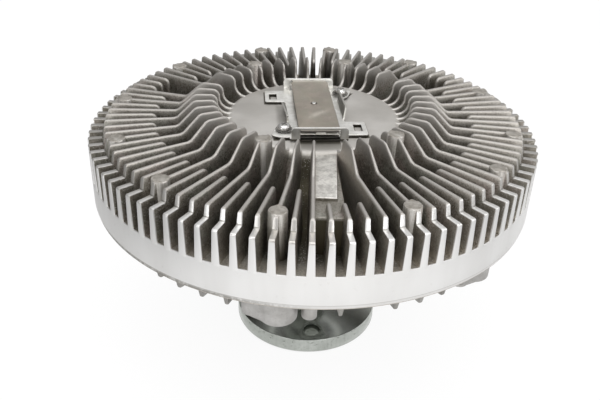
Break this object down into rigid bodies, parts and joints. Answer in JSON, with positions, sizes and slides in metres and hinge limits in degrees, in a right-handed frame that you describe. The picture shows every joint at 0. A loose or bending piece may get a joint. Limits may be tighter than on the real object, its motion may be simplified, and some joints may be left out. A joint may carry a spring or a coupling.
{
  "type": "viscous fan clutch",
  "caption": "Viscous fan clutch with a finned cast aluminium housing that turns on a flanged steel shaft, and a bimetal strip on its front.",
  "frame": {"origin": "centre of the mounting flange's lower face", "axes": "+Z along the turning axis, from the mounting flange to the finned front; -Y is the side that faces the camera in the picture"},
  "size_m": [0.28, 0.28, 0.1679],
  "materials": {
    "cast_aluminium": "as cast, grey, with machined rim and fin edges",
    "rear_cast_aluminium": "as cast, light grey",
    "machined_steel": "turned and lightly oiled",
    "bearing_steel": "ground and polished",
    "cage_steel": "pressed sheet",
    "spring_steel": "dark tempered",
    "black_rubber": "matt black",
    "rotor_aluminium": "machined",
    "zinc_plated_steel": "zinc plated",
    "bimetal": "rolled, grey-brown",
    "screw_steel": "zinc plated"
  },
  "bodies": {
    "shaft": {"flange_shaft": "machined_steel", "bearing_inner_race": "bearing_steel", "drive_rotor": "rotor_aluminium", "rotor_washer": "zinc_plated_steel", "rotor_screw": "screw_steel"},
    "cage": {"bearing_cage": "cage_steel", "bearing_ball_1": "bearing_steel", "bearing_ball_2": "bearing_steel", "bearing_ball_3": "bearing_steel", "bearing_ball_4": "bearing_steel", "bearing_ball_5": "bearing_steel", "bearing_ball_6": "bearing_steel", "bearing_ball_7": "bearing_steel", "bearing_ball_8": "bearing_steel", "bearing_ball_9": "bearing_steel"},
    "housing": {"bearing_outer_race": "bearing_steel", "bearing_circlip": "spring_steel", "shaft_seal": "black_rubber", "rear_housing": "rear_cast_aluminium", "housing_seal_ring": "black_rubber", "front_cover": "cast_aluminium", "valve_plate": "zinc_plated_steel", "valve_rivet": "screw_steel", "pin_seal_ring": "black_rubber", "bimetal_bracket": "zinc_plated_steel", "bimetal_strip": "bimetal", "valve_screw_1": "screw_steel", "valve_screw_2": "screw_steel", "valve_screw_3": "screw_steel", "valve_screw_4": "screw_steel", "bracket_washer_1": "zinc_plated_steel", "bracket_screw_1": "screw_steel", "bracket_washer_2": "zinc_plated_steel", "bracket_screw_2": "screw_steel"},
    "pin": {"control_pin": "screw_steel"},
    "arm": {"valve_arm": "spring_steel"}
  },
  "joints": [
    {"name": "housing_spin", "type": "hinge", "parent": "shaft", "child": "housing", "pos_m": [0, 0, 0.0843], "axis": [0, 0, 1], "continuous": true},
    {"name": "cage_spin", "type": "hinge", "parent": "shaft", "child": "cage", "pos_m": [0, 0, 0.0843], "axis": [0, 0, 1], "continuous": true},
    {"name": "arm_lift", "type": "hinge", "parent": "housing", "child": "arm", "pos_m": [-0.02786, -0.00283, 0.1284], "axis": [0.1011, -0.9949, 0], "range_deg": [0, 2.45]},
    {"name": "pin_slide", "type": "slide", "parent": "housing", "child": "pin", "axis": [0, 0, 1], "range_m": [0, 0.0012]}
  ],
  "couplings": [
    {"joint": "cage_spin", "follows": "housing_spin", "ratio": 0.595},
    {"joint": "pin_slide", "follows": "arm_lift", "m_per_rad": 0.028}
  ]
}
